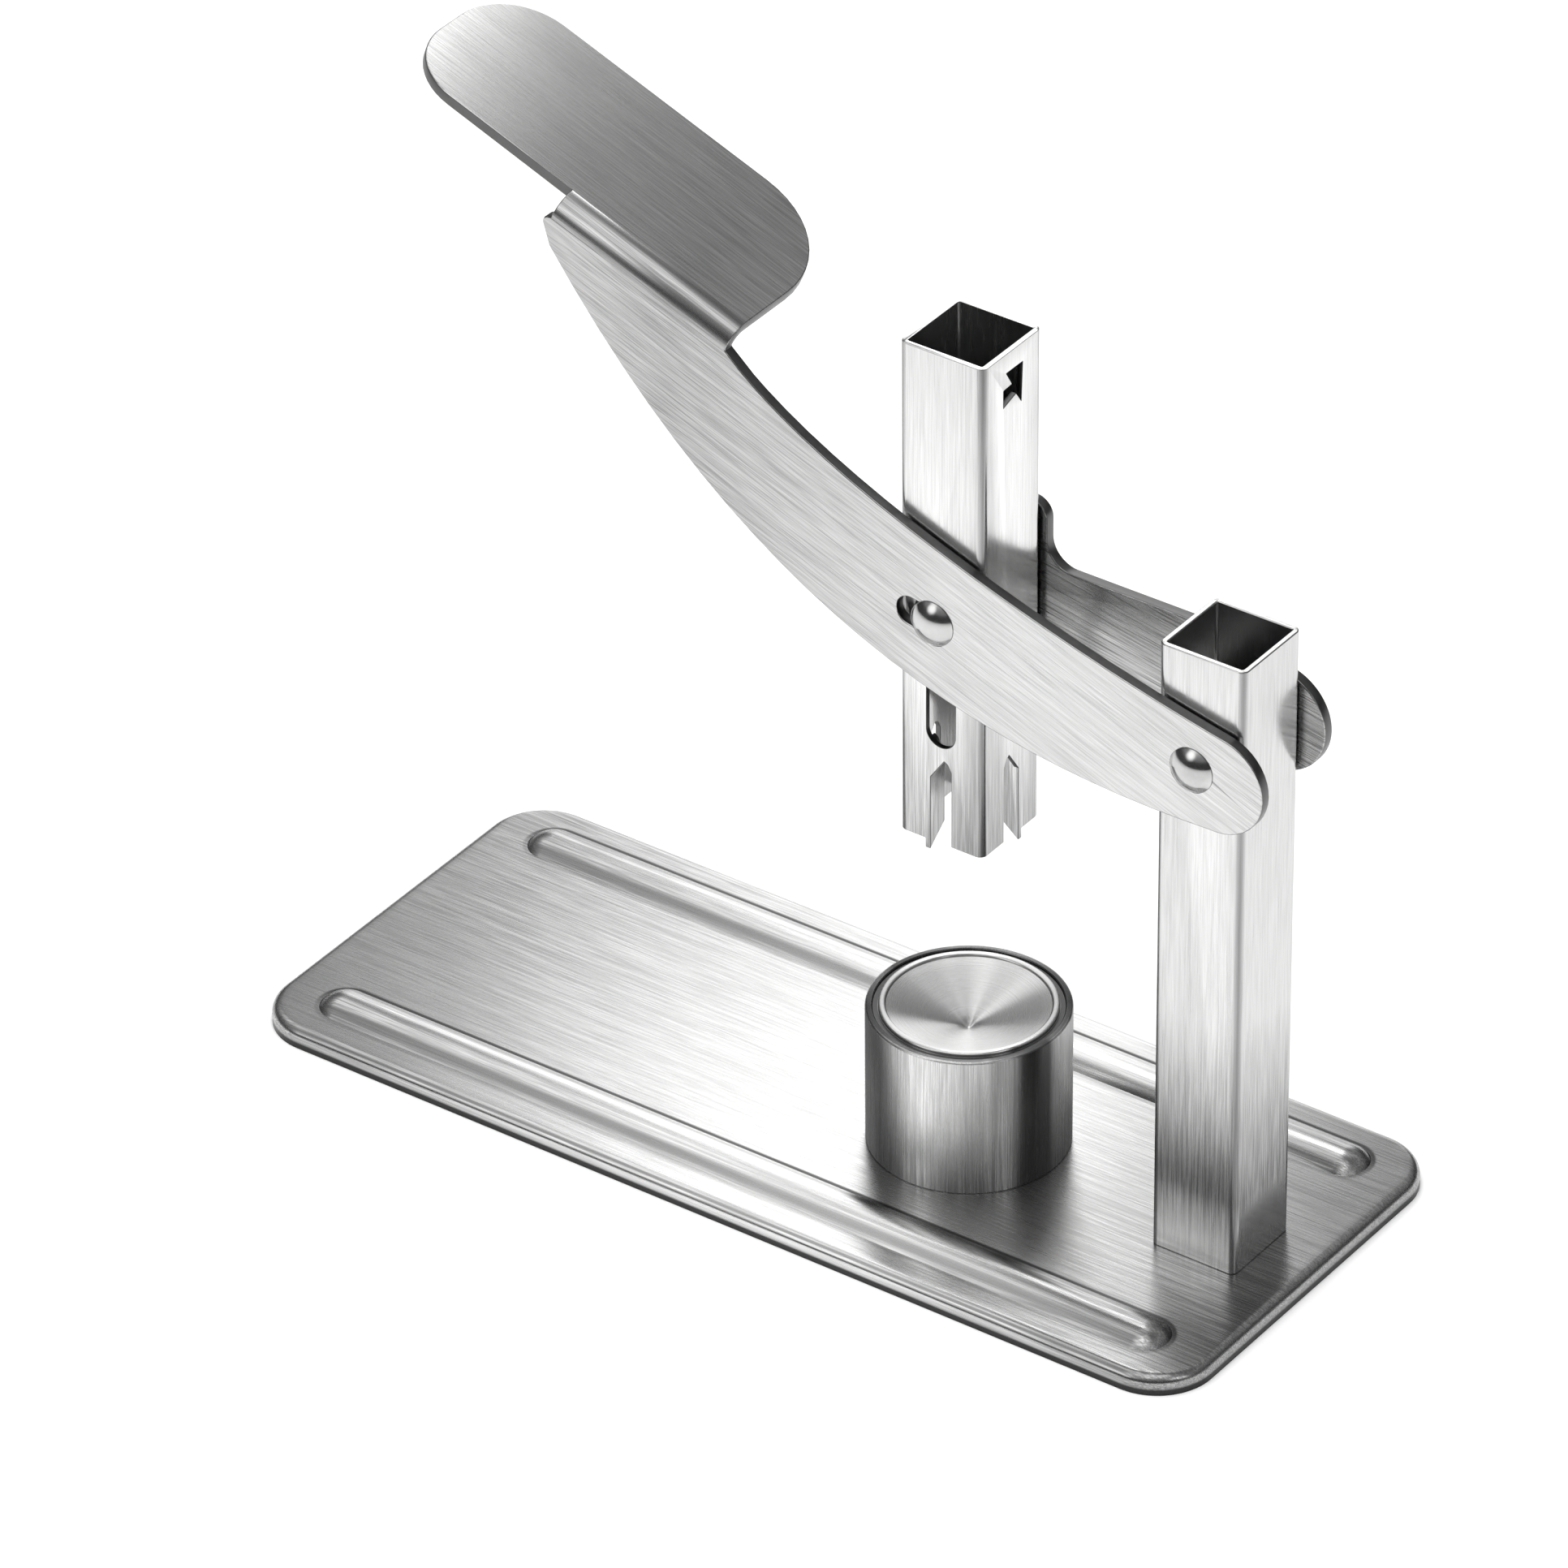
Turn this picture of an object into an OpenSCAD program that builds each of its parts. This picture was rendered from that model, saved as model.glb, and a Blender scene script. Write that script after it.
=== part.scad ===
// Table-top lever nutcracker in stainless steel.
// Origin: centre of the resting face, +X towards the column, +Y away from the handle arm, +Z up.

/* [Base plate] */
// Length of the base plate
base_l = 230; // [190:1:290]
// Width of the base plate
base_w = 98; // [90:1:130]
// Radius of the base plate's corners
base_corner_r = 13; // [8:0.5:20]
// Thickness of the pressed sheet
sheet_t = 1.5; // [1:0.1:2]
// Depth of the turned-down rim, outside
rim_h = 3.2; // [2.6:0.1:6]
// Outside radius where the top turns into the rim
rim_bend_r = 2.2; // [2.1:0.1:2.5]
// Width of each stiffening rib
rib_w = 12; // [8:0.5:14]
// Height of each rib above the sheet
rib_h = 2.6; // [1.5:0.1:3.5]
// Distance between the centres of the two ribs
rib_pitch = 72; // [66:1:76]
// Gap from a rib's end to the end of the plate
rib_end_gap = 10; // [8:1:30]
// Diameter of the foot pads
pad_d = 14; // [8:0.5:18]
// How far a pad stands below the rim
pad_proud = 1.2; // [0.6:0.1:3]
// Distance from a pad's centre to the two edges beside it
pad_inset = 14; // [12:0.5:16]

/* [Column and press head] */
// Outside width of both square tubes
tube_w = 20; // [18:0.5:24]
// Wall of both square tubes
tube_wall = 1.2; // [1:0.1:1.6]
// Outside corner radius of both square tubes
tube_corner_r = 1.6; // [1.2:0.1:2.4]
// Height of the column above the base plate
column_h = 143; // [125:1:175]
// Distance from the column's axis to the end of the plate
column_end_gap = 22; // [20:1:30]
// Distance from the column's axis to the press head's axis
reach = 61; // [54:1:72]
// Length of the press head above its pin
head_up = 59.8; // [50:0.1:72]
// Length of the press head below its pin
head_down = 53.5; // [52:0.1:60]
// Width of the upright window in the front and rear of the press head
window_w = 7; // [4:0.5:9]
// Length of that window
window_l = 18.5; // [10:0.5:20]
// Height of that window above the head's lower rim
window_up = 22.8; // [21:0.1:24]

/* [Cutting blades] */
// Width of each blade, bent in from the tube's wall
blade_w = 5; // [3.5:0.1:6]
// Height of a blade at the side where it is bent
blade_h = 15; // [10:0.5:16]
// Extra height of the slit's peak
blade_peak = 4.8; // [3:0.1:5]
// How far a blade's point stands below the rim
blade_tip = 2.2; // [1:0.1:4]
// How far a blade's inner end is cut back above the rim
blade_rise = 1.9; // [0.5:0.1:4]
// Distance from the top rim to the small lanced tooth
tooth_down = 4.3; // [3:0.1:8]
// Width of the opening of the small lanced tooth
tooth_w = 6.6; // [5:0.1:7]
// Height of the opening of the small lanced tooth
tooth_h = 8.8; // [7:0.1:12]

/* [Cup] */
// Outside diameter of the cup's sleeve
cup_d = 42; // [36:0.5:52]
// Height of the cup's sleeve above the base plate
cup_h = 32.2; // [26:0.1:39]
// Wall of the cup's sleeve
cup_wall = 1.5; // [1:0.1:2]
// Width of the open groove between the sleeve and the dish
groove_w = 1.1; // [0.8:0.1:2]
// Depth of that groove
groove_d = 0.9; // [0.5:0.1:2]
// Width of the flat ring round the dish
ring_w = 1.6; // [1:0.1:3]
// How far the ring stands above the sleeve
ring_proud = 0.4; // [0.1:0.1:1]
// Depth of the dish at its centre
dish_depth = 6.4; // [4:0.1:9]
// Thickness of the dish
dish_t = 1.5; // [1:0.1:2]
// Depth of the dish's skirt below the ring
skirt_d = 5; // [4:0.1:8]
// Diameter of the post that holds the dish up
post_d = 14; // [11:0.5:18]

/* [Lever] */
// Thickness of the arm's and the cheek's sheet
lever_t = 2.5; // [2:0.1:3]
// Height of the pivot below the top of the column
pivot_drop = 24.2; // [18:0.1:30]
// Rest angle of the line from the pivot to the head's pin
rest_angle = 10.4; // [6:0.1:14]
// Radius of the arm's rounded end at the pivot
boss_r = 11; // [9.5:0.1:14]
// Distance of that rounded end's centre past the pivot
boss_x = 5.5; // [1:0.1:6]
// Distance of that rounded end's centre below the pivot
boss_drop = 1.3; // [0:0.1:2]
// Radius of the rear cheek's rounded end at the pivot
cheek_r = 11.6; // [10.5:0.1:14]
// Distance of the cheek's rounded end past the pivot
cheek_x = 4; // [1:0.1:5]
// Distance from the pivot back to the start of the bend
bend_x = 150.5; // [140:0.5:165]
// Height of the palm plate's top above the pivot at the start of the bend
bend_z = 77; // [72:0.5:84]
// Slope of the palm plate
palm_tilt = 20.9; // [16:0.1:26]
// Length of the bend between the arm and the palm plate
bend_l = 44.8; // [40:0.1:48]
// Outside radius of that bend
bend_r = 5; // [4:0.1:6]
// Length of the palm plate
palm_l = 90; // [75:1:105]
// Width of the flat of the palm plate
palm_w = 36; // [32:0.5:48]
// Radius of the palm plate's corners at its free end
palm_r = 15; // [10:0.5:15.5]
// Radius of the palm plate's corner beside the press head
palm_near_r = 22; // [12:0.5:26]
// Length of the rear cheek past the far end of its slot
cheek_past = 12.57; // [10:0.01:18]
// Height of the rear cheek's lobe above the pivot
lobe_z = 30.5; // [28:0.5:34]
// Height of the rear cheek's straight top edge above the pivot
cheek_z = 16.3; // [15:0.1:18]

/* [Rivets and screws] */
// Diameter of the two rivets' shanks
pin_d = 6; // [5:0.1:7.2]
// Diameter of the rivets' domed heads
rivet_head_d = 10; // [9:0.5:12]
// Height of the rivets' domed heads
rivet_head_h = 2.2; // [1.5:0.1:3]
// Outside diameter of the thin washers
washer_d = 12; // [10:0.5:14]
// Wall of the spacer sleeves inside the tubes
sleeve_wall = 1.5; // [1:0.1:2]
// Diameter of the screws under the base
screw_d = 5; // [4:0.1:6]
// Length of those screws under their heads
screw_l = 11; // [8:0.5:13]
// Diameter of their heads
screw_head_d = 9; // [8:0.1:11]
// Height of their heads
screw_head_h = 2.2; // [1.8:0.1:2.4]
// Height of the threaded plug in the column's foot
plug_h = 12; // [9:0.5:14]

/* [Fits] */
// Radial clearance of a rivet in its holes
pin_fit = 0.05; // [0.02:0.01:0.1]
// Clearance on each side of a rivet in the lever's slots
slot_fit = 0.15; // [0.1:0.05:0.3]
// Gap between a tube and the sheet beside it
side_gap = 0.5; // [0.4:0.1:1]
// Clearance on each face of a washer, sleeve or rivet head
face_fit = 0.05; // [0.02:0.01:0.1]
// Height of the blades over the cup when the lever is fully down
down_gap = 1.5; // [1:0.1:4]
// Extra size of the base plate's screw holes
screw_fit = 0.3; // [0.1:0.1:0.6]
// Radial clearance of the dish's skirt in the cup's sleeve
dish_fit = 0.05; // [0.02:0.01:0.1]

/* [Hidden] */

$fn = 64;
past = 1;                                   // how far a cut runs past a face
steel = "silver";
bright = "gainsboro";
dark = "dimgray";

// heights
base_top = pad_proud + rim_h;
column_top = base_top + column_h;
pivot_z = column_top - pivot_drop;
pin_z = pivot_z + reach * tan(rest_angle);
head_low = pin_z - head_down;
ring_top = base_top + cup_h + ring_proud;

// places along X
column_x = base_l / 2 - column_end_gap;
head_x = column_x - reach;

// the head's pin slides out along the lever's slots, so that the head stays over the cup
press_drop = head_low - blade_tip - ring_top - down_gap;
down_angle = atan((press_drop - reach * tan(rest_angle)) / reach);
pin_r_rest = reach / cos(rest_angle);
pin_r_down = reach / cos(down_angle);
slot_travel = pin_r_down - pin_r_rest;
echo(press_angle = rest_angle + down_angle, slot_travel = slot_travel, pivot = [column_x, pivot_z],
     pin = [head_x, pin_z]);

// faces across Y
tube_side = tube_w / 2;
arm_in = tube_side + side_gap;
arm_out = arm_in + lever_t;

// a unit vector along the palm plate's slope, and one square to its top
slope_dir = [cos(palm_tilt), -sin(palm_tilt)];
slope_up = [sin(palm_tilt), cos(palm_tilt)];
bend_start = [-bend_x, bend_z];
bend_left = bend_start - bend_r * slope_up;
bend_right = bend_left + bend_l * slope_dir;

// ---- small tools ----------------------------------------------------------

// points of an arc, from angle a0 to a1 in n steps
function arc_pts(c, r, a0, a1, n) =
    [for (i = [0 : n]) let (a = a0 + (a1 - a0) * i / n) c + r * [cos(a), sin(a)]];

// points of a cubic curve with two guide points, without its ends
function curve_pts(p, q, r, s, n) =
    [for (i = [1 : n - 1]) let (t = i / n, u = 1 - t)
        u * u * u * p + 3 * u * u * t * q + 3 * u * t * t * r + t * t * t * s];

// a closed outline whose corners [x, y, radius] are rounded by tangent arcs
function unit(v) = v / norm(v);
function corner_pts(a, b, c, n) =
    let (
        p = [b[0], b[1]],
        u = unit([a[0], a[1]] - p),
        v = unit([c[0], c[1]] - p),
        half = acos(max(-1, min(1, u * v))) / 2,
        reach_c = b[2] / sin(half),
        centre = p + unit(u + v) * reach_c,
        t0 = p + u * b[2] / tan(half) - centre,
        t1 = p + v * b[2] / tan(half) - centre,
        a0 = atan2(t0[1], t0[0]),
        turn = atan2(t1[1], t1[0]) - a0,
        sweep = turn > 180 ? turn - 360 : turn < -180 ? turn + 360 : turn
    )
    b[2] == 0 ? [p] : arc_pts(centre, b[2], a0, a0 + sweep, n);
function rounded(pts, n = 10) =
    [for (i = [0 : len(pts) - 1])
        each corner_pts(pts[(i + len(pts) - 1) % len(pts)], pts[i], pts[(i + 1) % len(pts)], n)];

// a rounded rectangle, centred
module round_rect(l, w, r) {
    square([l - 2 * r, w], center = true);
    square([l, w - 2 * r], center = true);
    for (x = [-1, 1], y = [-1, 1])
        translate([x * (l / 2 - r), y * (w / 2 - r)])
            circle(r);
}

// a shallow box standing on z = 0, with round upright corners and a round top edge
module round_top_box(l, w, h, r, edge) {
    linear_extrude(h - edge) round_rect(l, w, r);
    linear_extrude(h) round_rect(l - 2 * edge, w - 2 * edge, r - edge);
    for (s = [-1, 1]) {
        translate([0, s * (w / 2 - edge), h - edge])
            rotate([0, 90, 0]) cylinder(r = edge, h = l - 2 * r, center = true);
        translate([s * (l / 2 - edge), 0, h - edge])
            rotate([90, 0, 0]) cylinder(r = edge, h = w - 2 * r, center = true);
    }
    for (x = [-1, 1], y = [-1, 1])
        translate([x * (l / 2 - r), y * (w / 2 - r), h - edge])
            rotate_extrude() translate([r - edge, 0]) circle(edge);
}

// a long rib with round ends on z = 0, cut from a cylinder of radius r sunk by drop
module rib_form(l, w, r, drop) {
    intersection() {
        union() {
            translate([0, 0, -drop]) rotate([0, 90, 0]) cylinder(r = r, h = l - w, center = true);
            for (s = [-1, 1])
                translate([s * (l - w) / 2, 0, -drop]) sphere(r);
        }
        translate([0, 0, r / 2]) cube([l + r, 2 * r, r], center = true);
    }
}

// a ring of round section about the Y axis, from y = y0 to y1
module y_ring(ro, ri, y0, y1) {
    translate([0, y1, 0]) rotate([90, 0, 0])
        difference() {
            cylinder(r = ro, h = y1 - y0);
            translate([0, 0, -past]) cylinder(r = ri, h = y1 - y0 + 2 * past);
        }
}

module y_rod(r, y0, y1) {
    translate([0, y1, 0]) rotate([90, 0, 0]) cylinder(r = r, h = y1 - y0);
}

// a plate lying in the lever's plane, from y = y0 to y0 + lever_t, about the pivot
module lever_sheet(y0) {
    translate([column_x, y0 + lever_t, pivot_z]) rotate([90, 0, 0])
        linear_extrude(lever_t) children();
}

// a square tube standing on z = 0
module square_tube(h) {
    linear_extrude(h)
        difference() {
            round_rect(tube_w, tube_w, tube_corner_r);
            round_rect(tube_w - 2 * tube_wall, tube_w - 2 * tube_wall, tube_corner_r - tube_wall);
        }
}

// ---- base -----------------------------------------------------------------

rib_r = (rib_w * rib_w / 4 + rib_h * rib_h) / (2 * rib_h);
rib_sunk = rib_r - rib_h;
rib_l = base_l - 2 * rib_end_gap;

module base_plate() {
    color(steel) translate([0, 0, pad_proud])
        difference() {
            union() {
                round_top_box(base_l, base_w, rim_h, base_corner_r, rim_bend_r);
                for (s = [-1, 1])
                    translate([0, s * rib_pitch / 2, rim_h]) rib_form(rib_l, rib_w, rib_r, rib_sunk);
            }
            translate([0, 0, -past])
                round_top_box(base_l - 2 * sheet_t, base_w - 2 * sheet_t, rim_h - sheet_t + past,
                              base_corner_r - sheet_t, rim_bend_r - sheet_t);
            for (s = [-1, 1])
                translate([0, s * rib_pitch / 2, rim_h - sheet_t])
                    rib_form(rib_l, rib_w, rib_r - sheet_t, rib_sunk - sheet_t);
            for (x = [column_x, head_x])
                translate([x, 0, -past]) cylinder(d = screw_d + screw_fit, h = rim_h + 2 * past);
        }
}

module foot_pad(i) {
    sx = i % 2 == 0 ? -1 : 1;
    sy = i < 2 ? -1 : 1;
    color(dark) translate([sx * (base_l / 2 - pad_inset), sy * (base_w / 2 - pad_inset), 0])
        cylinder(d = pad_d, h = base_top - sheet_t);
}

// a low-headed screw, its head under the base plate and its shank up through it
module base_screw(x) {
    color(bright) translate([x, 0, base_top - sheet_t]) {
        cylinder(d = screw_d, h = screw_l);
        translate([0, 0, -screw_head_h])
            difference() {
                cylinder(d = screw_head_d, h = screw_head_h);
                translate([0, 0, -past]) cylinder(d = screw_d * 0.6, h = screw_head_h / 2 + past, $fn = 6);
            }
    }
}

// ---- column ---------------------------------------------------------------

module column_tube() {
    color(steel) translate([column_x, 0, base_top])
        difference() {
            square_tube(column_h);
            translate([0, 0, column_h - pivot_drop])
                y_rod(pin_d / 2 + pin_fit, -tube_side - past, tube_side + past);
        }
}

module column_plug() {
    color(bright) translate([column_x, 0, base_top])
        difference() {
            linear_extrude(plug_h)
                round_rect(tube_w - 2 * tube_wall, tube_w - 2 * tube_wall, tube_corner_r - tube_wall);
            translate([0, 0, -past]) cylinder(d = screw_d, h = plug_h + 2 * past);
        }
}

// ---- cup ------------------------------------------------------------------

cup_r = cup_d / 2;
bore_r = cup_r - cup_wall;
dish_r = bore_r - dish_fit;
ring_out = bore_r - groove_w;
ring_in = ring_out - ring_w;
lip_r = cup_wall * 0.4;

module cup_sleeve() {
    color(steel) translate([head_x, 0, base_top])
        rotate_extrude($fn = 96)
            difference() {
                translate([bore_r, 0]) square([cup_wall, cup_h]);
                translate([cup_r - lip_r, cup_h - lip_r])
                    difference() {
                        square(2 * lip_r);
                        circle(lip_r, $fn = 24);
                    }
            }
}

module cup_dish() {
    tip_r = 1.5;                            // small flat at the bottom of the dish
    edge_r = ring_w * 0.3;                  // rounding of the ring's two edges
    skirt_r = dish_r - dish_t;
    color(bright) translate([head_x, 0, ring_top])
        rotate_extrude($fn = 96)
            polygon([
                [0, -dish_depth],
                [tip_r, -dish_depth + tip_r * dish_depth / ring_in / 2],
                [ring_in, -edge_r],
                each arc_pts([ring_in + edge_r, -edge_r], edge_r, 180, 90, 4),
                each arc_pts([ring_out - edge_r, -edge_r], edge_r, 90, 0, 4),
                [ring_out, -groove_d],
                [dish_r, -groove_d],
                [dish_r, -skirt_d],
                [skirt_r, -skirt_d],
                [skirt_r, -groove_d - dish_t],
                [ring_in, -groove_d - dish_t],
                [post_d / 2, -dish_depth - dish_t * 0.6],
                [0, -dish_depth - dish_t * 0.6]
            ]);
}

module cup_post() {
    color(bright) translate([head_x, 0, base_top])
        difference() {
            cylinder(d = post_d, h = ring_top - base_top - dish_depth - dish_t * 0.6);
            translate([0, 0, -past]) cylinder(d = screw_d, h = screw_l + past);
        }
}

// ---- pins, sleeves and washers --------------------------------------------

// a domed head of height h on the plane y = 0, pointing to -Y
module dome_head(d, h) {
    r = (d * d / 4 + h * h) / (2 * h);
    intersection() {
        translate([0, r - h, 0]) sphere(r, $fn = 96);
        y_rod(d, -h - past, 0);
    }
}

// a rivet through the lever and a tube: a domed head at each end of the shank
module rivet() {
    color(bright) {
        y_rod(pin_d / 2, -arm_out - face_fit, arm_out + face_fit);
        translate([0, -arm_out - face_fit, 0]) dome_head(rivet_head_d, rivet_head_h);
        mirror([0, 1, 0])
            translate([0, -arm_out - face_fit, 0]) dome_head(rivet_head_d, rivet_head_h);
    }
}

module spacer_sleeve() {
    half = tube_side - tube_wall - face_fit;
    color(bright) y_ring(pin_d / 2 + pin_fit + sleeve_wall, pin_d / 2 + pin_fit, -half, half);
}

// a thin washer between a tube and the sheet beside it; side is -1 in front and 1 behind
module washer(side) {
    color(bright) {
        if (side < 0)
            y_ring(washer_d / 2, pin_d / 2 + pin_fit, -arm_in + face_fit, -tube_side - face_fit);
        if (side > 0)
            y_ring(washer_d / 2, pin_d / 2 + pin_fit, tube_side + face_fit, arm_in - face_fit);
    }
}

module at_pivot() { translate([column_x, 0, pivot_z]) children(); }
module at_pin() { translate([head_x, 0, pin_z]) children(); }

// ---- lever ----------------------------------------------------------------

// the hole at the pivot and the slot for the head's pin, in the lever's plane
module lever_holes() {
    slot_r = pin_d / 2 + slot_fit;
    circle(pin_d / 2 + pin_fit);
    rotate(180 - rest_angle) {
        translate([pin_r_rest, 0]) circle(slot_r);
        translate([pin_r_down, 0]) circle(slot_r);
        translate([pin_r_rest, -slot_r]) square([slot_travel, 2 * slot_r]);
    }
}

// the arm's outline up to the bend
module arm_outline() {
    heel_r = 1.5;
    heel_drop = 6.5;
    top_lead = [-31.5, 6.2];                // guides of the curve along the top, from the pivot's end
    neck_lead = [24.1, -23.4];
    heel_lead = [46, -64.9];                // guides of the curve along the belly, from the heel
    belly_lead = [-56.2, -2.3];
    end_pts = arc_pts([boss_x, -boss_drop], boss_r, -95, 76.5, 20);
    low = end_pts[0];
    high = end_pts[20];
    heel = bend_left - [0.6, heel_drop];
    polygon([
        each end_pts,
        each curve_pts(high, high + top_lead, bend_right + neck_lead, bend_right, 20),
        bend_right,
        bend_left,
        each arc_pts(bend_left - heel_r * slope_up, heel_r, 100 - palm_tilt, 190, 6),
        heel,
        each curve_pts(heel, heel + heel_lead, low + belly_lead, low, 24)
    ]);
}

// the palm plate's outline, with a tab that takes in the bend
module palm_outline() {
    polygon(rounded([
        [bend_l - palm_l, 0, palm_r - 1.5],
        [0, 0, 0],
        [0, -bend_r - past, 0],
        [bend_l, -bend_r - past, 0],
        [bend_l, palm_w, palm_near_r],
        [bend_l - palm_l, palm_w, palm_r]
    ], 12));
}

// the lever's frame at the bend: x along the bend, y towards the rear, z = 0 on top of the palm plate
module at_bend() {
    translate([column_x + bend_start[0], -arm_out + bend_r, pivot_z + bend_start[1]])
        rotate([0, palm_tilt, 0]) children();
}

// the sheet bent once and not yet cut to its outline, longer than the lever each way
module bent_sheet() {
    span = bend_x + bend_z;
    at_bend() translate([bend_l - palm_l - past, 0, -bend_r])
        rotate([90, 0, 90]) linear_extrude(span + palm_l) {
            intersection() {
                difference() {
                    circle(bend_r);
                    circle(bend_r - lever_t);
                }
                translate([-bend_r, 0]) square(bend_r);
            }
            translate([-bend_r, -span]) square([lever_t, span]);
            translate([0, bend_r - lever_t]) square([palm_w + past, lever_t]);
        }
}

module lever_arm() {
    color(steel)
        difference() {
            intersection() {
                bent_sheet();
                union() {
                    translate([column_x, -arm_in + past, pivot_z]) rotate([90, 0, 0])
                        linear_extrude(lever_t + 2 * past) arm_outline();
                    at_bend() translate([0, 0, -bend_r - past]) linear_extrude(bend_r + 2 * past)
                        palm_outline();
                }
            }
            translate([column_x, -arm_in + past, pivot_z]) rotate([90, 0, 0])
                linear_extrude(lever_t + 2 * past) lever_holes();
        }
}

module rear_cheek() {
    pin_x = -reach;
    left = pin_x - slot_travel * cos(rest_angle) - cheek_past;
    right = pin_x + tube_side + 1;
    low = 1 - cheek_r;
    color(steel)
        lever_sheet(arm_in)
            difference() {
                union() {
                    translate([cheek_x, 1]) circle(cheek_r);
                    polygon(rounded([
                        [cheek_x, low, 0],
                        [cheek_x, 1 + cheek_r, 0],
                        [cheek_x - 2, 1 + cheek_r, 0],
                        [-16, cheek_z, 12],
                        [right, cheek_z, 6],
                        [right, lobe_z, 4],
                        [left, lobe_z, 12],
                        [left, low + 2, 16],
                        [pin_x + 10, low, 24]
                    ]));
                }
                lever_holes();
            }
}

// ---- press head -----------------------------------------------------------

// the slit that is sheared free for a blade: u runs from the bent side, z up from the rim
slit = [
    [0, -blade_tip - past],
    [blade_w, -blade_tip - past],
    [blade_w, blade_h + blade_peak * 0.55],
    [blade_w * 0.84, blade_h + blade_peak * 0.88],
    [blade_w * 0.66, blade_h + blade_peak],
    [0, blade_h]
];
// the blade itself, with its point at the bent side
blade = [
    [0, -blade_tip],
    [blade_w, blade_rise],
    [blade_w, blade_h + blade_peak * 0.55],
    [blade_w * 0.84, blade_h + blade_peak * 0.88],
    [blade_w * 0.66, blade_h + blade_peak],
    [0, blade_h]
];

// children are placed on one of the tube's four faces: x across it, y = 0 on it, z up from the rim
module on_face(i) {
    translate([head_x, 0, head_low]) rotate([0, 0, 90 * i]) translate([0, -tube_side, 0])
        mirror([i % 2, 0, 0]) children();
}

module slit_cut() {
    translate([-blade_w / 2, tube_wall + past, 0]) rotate([90, 0, 0])
        linear_extrude(tube_wall + 2 * past) polygon(slit);
}

module bent_blade() {
    translate([-blade_w / 2 - tube_wall, 0, 0]) rotate([90, 0, 90])
        linear_extrude(tube_wall) polygon(blade);
}

// the small opening near the top of one face, and the tooth that is bent in from its side
module tooth_cut() {
    w = tooth_w;
    h = tooth_h;
    translate([-w / 2, tube_wall + past, head_down + head_up - tooth_down - h]) rotate([90, 0, 0])
        linear_extrude(tube_wall + 2 * past)
            polygon([[0, h * 0.15], [0, h * 0.6], [w * 0.45, h * 0.62], [w * 0.14, h], [w, h], [w * 0.93, 0],
                     [w * 0.66, h * 0.3]]);
}

module tooth() {
    w = tooth_w;
    h = tooth_h;
    translate([-w / 2 - tube_wall * 0.4, 0, head_down + head_up - tooth_down - h])
        rotate([0, 0, 24]) translate([0, tube_wall, 0]) rotate([90, 0, 0])
            linear_extrude(tube_wall * 0.8)
                polygon([[0, h * 0.2], [0, h * 0.48], [w * 0.68, h * 0.66], [w * 0.52, h * 0.36]]);
}

module press_head() {
    color(steel) {
        difference() {
            translate([head_x, 0, head_low]) square_tube(head_up + head_down);
            at_pin() y_rod(pin_d / 2 + pin_fit, -tube_side - past, tube_side + past);
            translate([head_x, tube_side + past, head_low + window_up + window_w / 2]) rotate([90, 0, 0])
                linear_extrude(tube_w + 2 * past) {
                    circle(window_w / 2);
                    translate([0, window_l - window_w]) circle(window_w / 2);
                    translate([-window_w / 2, 0]) square([window_w, window_l - window_w]);
                }
            for (i = [0 : 3])
                on_face(i) slit_cut();
            on_face(1) mirror([1, 0, 0]) tooth_cut();
        }
        for (i = [0 : 3])
            on_face(i) bent_blade();
        on_face(1) mirror([1, 0, 0]) tooth();
    }
}

// ---- nodes ----------------------------------------------------------------

base_plate();
foot_pad(0);  // foot_pad_1
foot_pad(1);  // foot_pad_2
foot_pad(2);  // foot_pad_3
foot_pad(3);  // foot_pad_4
column_tube();
column_plug();
base_screw(column_x);  // column_screw
cup_sleeve();
cup_dish();
cup_post();
base_screw(head_x);  // cup_screw
at_pivot() rivet();  // pivot_rivet
at_pivot() spacer_sleeve();  // pivot_sleeve
at_pivot() washer(-1);  // pivot_washer_front
at_pivot() washer(1);  // pivot_washer_rear
lever_arm();
rear_cheek();
at_pin() rivet();  // head_rivet
at_pin() washer(-1);  // head_washer_front
at_pin() washer(1);  // head_washer_rear
at_pin() spacer_sleeve();  // head_sleeve
press_head();
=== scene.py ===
"""Looks of a table-top lever nutcracker in brushed stainless steel."""
import math

import bpy
from mathutils import Matrix, Vector


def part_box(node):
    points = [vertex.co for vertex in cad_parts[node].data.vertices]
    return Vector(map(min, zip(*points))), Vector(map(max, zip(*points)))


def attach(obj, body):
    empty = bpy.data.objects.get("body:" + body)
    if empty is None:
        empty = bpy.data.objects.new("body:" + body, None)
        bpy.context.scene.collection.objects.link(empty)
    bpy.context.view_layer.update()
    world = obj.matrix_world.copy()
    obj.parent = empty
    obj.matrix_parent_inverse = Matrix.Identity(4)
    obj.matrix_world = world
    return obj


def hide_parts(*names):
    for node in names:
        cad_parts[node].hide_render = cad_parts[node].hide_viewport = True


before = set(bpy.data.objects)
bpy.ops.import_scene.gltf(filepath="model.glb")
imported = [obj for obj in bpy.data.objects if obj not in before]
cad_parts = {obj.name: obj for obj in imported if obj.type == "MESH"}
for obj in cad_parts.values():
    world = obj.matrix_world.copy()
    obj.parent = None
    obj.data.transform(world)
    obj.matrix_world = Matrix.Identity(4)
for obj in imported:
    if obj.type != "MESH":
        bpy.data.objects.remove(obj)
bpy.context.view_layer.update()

MM = 0.001

# ---- sizes, all from the frame ---------------------------------------------------------------------

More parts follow.
